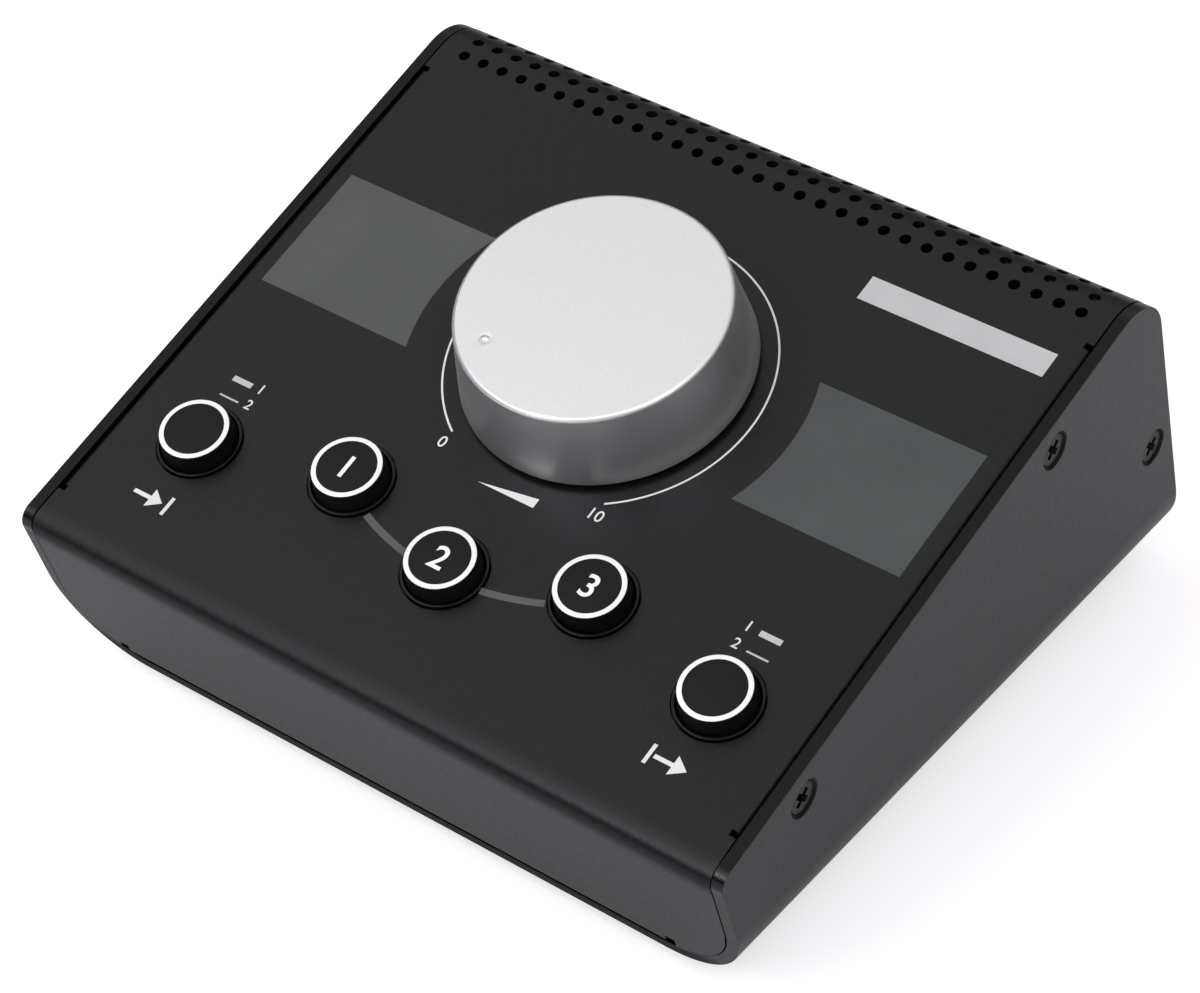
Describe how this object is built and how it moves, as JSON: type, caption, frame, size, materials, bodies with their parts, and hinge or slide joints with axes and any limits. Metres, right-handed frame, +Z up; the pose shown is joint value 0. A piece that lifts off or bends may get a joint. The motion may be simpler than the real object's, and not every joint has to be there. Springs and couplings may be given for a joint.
{
  "type": "studio monitor controller",
  "caption": "Sloping desktop audio box with one large metal volume knob, round push buttons on its panel, vent holes along the top edge and jack sockets in the rear face.",
  "frame": {"origin": "under the middle of the overall size, level with the underside of the feet", "axes": "+X to the user's right, +Y from the user towards the rear face, +Z up"},
  "size_m": [0.1682, 0.171, 0.0951],
  "materials": {
    "black_steel": "satin",
    "black_screw": "satin",
    "nickel": "satin",
    "foot_rubber": "matte",
    "knob_aluminium": "satin",
    "shaft_steel": "satin",
    "brass": "satin",
    "board_laminate": "satin",
    "resistor_body": "satin",
    "cable_grey": "matte",
    "cap_plastic": "matte",
    "bezel_plastic": "satin",
    "jack_plastic": "matte",
    "inner_plastic": "matte",
    "plunger_plastic": "matte"
  },
  "bodies": {
    "desk_box": {"attenuator_resistors": "resistor_body", "board_headers": "inner_plastic", "board_pillars": "nickel", "board_screws": "nickel", "clinch_nuts": "nickel", "control_board": "board_laminate", "dim_bezel": "bezel_plastic", "dim_switch": "inner_plastic", "foot_front_left": "foot_rubber", "foot_front_right": "foot_rubber", "foot_rear_left": "foot_rubber", "foot_rear_right": "foot_rubber", "foot_screws": "nickel", "hem_screws": "black_screw", "jack_board": "board_laminate", "jack_nuts": "nickel", "jack_washers": "nickel", "lower_chassis": "black_steel", "mini_jack_nut": "nickel", "monitor_a_left_jack": "jack_plastic", "monitor_a_right_jack": "jack_plastic", "monitor_b_left_jack": "jack_plastic", "monitor_b_right_jack": "jack_plastic", "monitor_bezel": "bezel_plastic", "monitor_switch": "inner_plastic", "mono_bezel": "bezel_plastic", "mono_switch": "inner_plastic", "mute_bezel": "bezel_plastic", "mute_switch": "inner_plastic", "pot_bushing": "brass", "pot_housing": "inner_plastic", "pot_nut": "nickel", "pot_terminals": "nickel", "pot_washer": "nickel", "ribbon_cable": "cable_grey", "side_screws": "black_screw", "source_a_left_jack": "jack_plastic", "source_a_right_jack": "jack_plastic", "source_b_left_jack": "jack_plastic", "source_b_mini_jack": "jack_plastic", "source_b_right_jack": "jack_plastic", "source_bezel": "bezel_plastic", "source_switch": "inner_plastic", "top_cover": "black_steel"},
    "volume_knob": {"knob_cap": "knob_aluminium", "knob_core": "inner_plastic", "pot_shaft": "shaft_steel", "pot_wipers": "inner_plastic"},
    "source_button": {"source_button_cap": "cap_plastic", "source_plunger": "plunger_plastic"},
    "mono_button": {"mono_button_cap": "cap_plastic", "mono_plunger": "plunger_plastic"},
    "mute_button": {"mute_button_cap": "cap_plastic", "mute_plunger": "plunger_plastic"},
    "dim_button": {"dim_button_cap": "cap_plastic", "dim_plunger": "plunger_plastic"},
    "monitor_button": {"monitor_button_cap": "cap_plastic", "monitor_plunger": "plunger_plastic"}
  },
  "joints": [
    {"name": "volume_turn", "type": "hinge", "parent": "desk_box", "child": "volume_knob", "pos_m": [0, -0.00499, 0.06897], "axis": [0, 0.309, -0.9511], "range_deg": [-7, 287]},
    {"name": "source_press", "type": "slide", "parent": "desk_box", "child": "source_button", "axis": [0, 0.309, -0.9511], "range_m": [0, 0.0025], "stiffness_N_per_m": 300, "springref_m": -0.002},
    {"name": "mono_press", "type": "slide", "parent": "desk_box", "child": "mono_button", "axis": [0, 0.309, -0.9511], "range_m": [0, 0.0025], "stiffness_N_per_m": 300, "springref_m": -0.002},
    {"name": "mute_press", "type": "slide", "parent": "desk_box", "child": "mute_button", "axis": [0, 0.309, -0.9511], "range_m": [0, 0.0025], "stiffness_N_per_m": 300, "springref_m": -0.002},
    {"name": "dim_press", "type": "slide", "parent": "desk_box", "child": "dim_button", "axis": [0, 0.309, -0.9511], "range_m": [0, 0.0025], "stiffness_N_per_m": 300, "springref_m": -0.002},
    {"name": "monitor_press", "type": "slide", "parent": "desk_box", "child": "monitor_button", "axis": [0, 0.309, -0.9511], "range_m": [0, 0.0025], "stiffness_N_per_m": 300, "springref_m": -0.002}
  ]
}
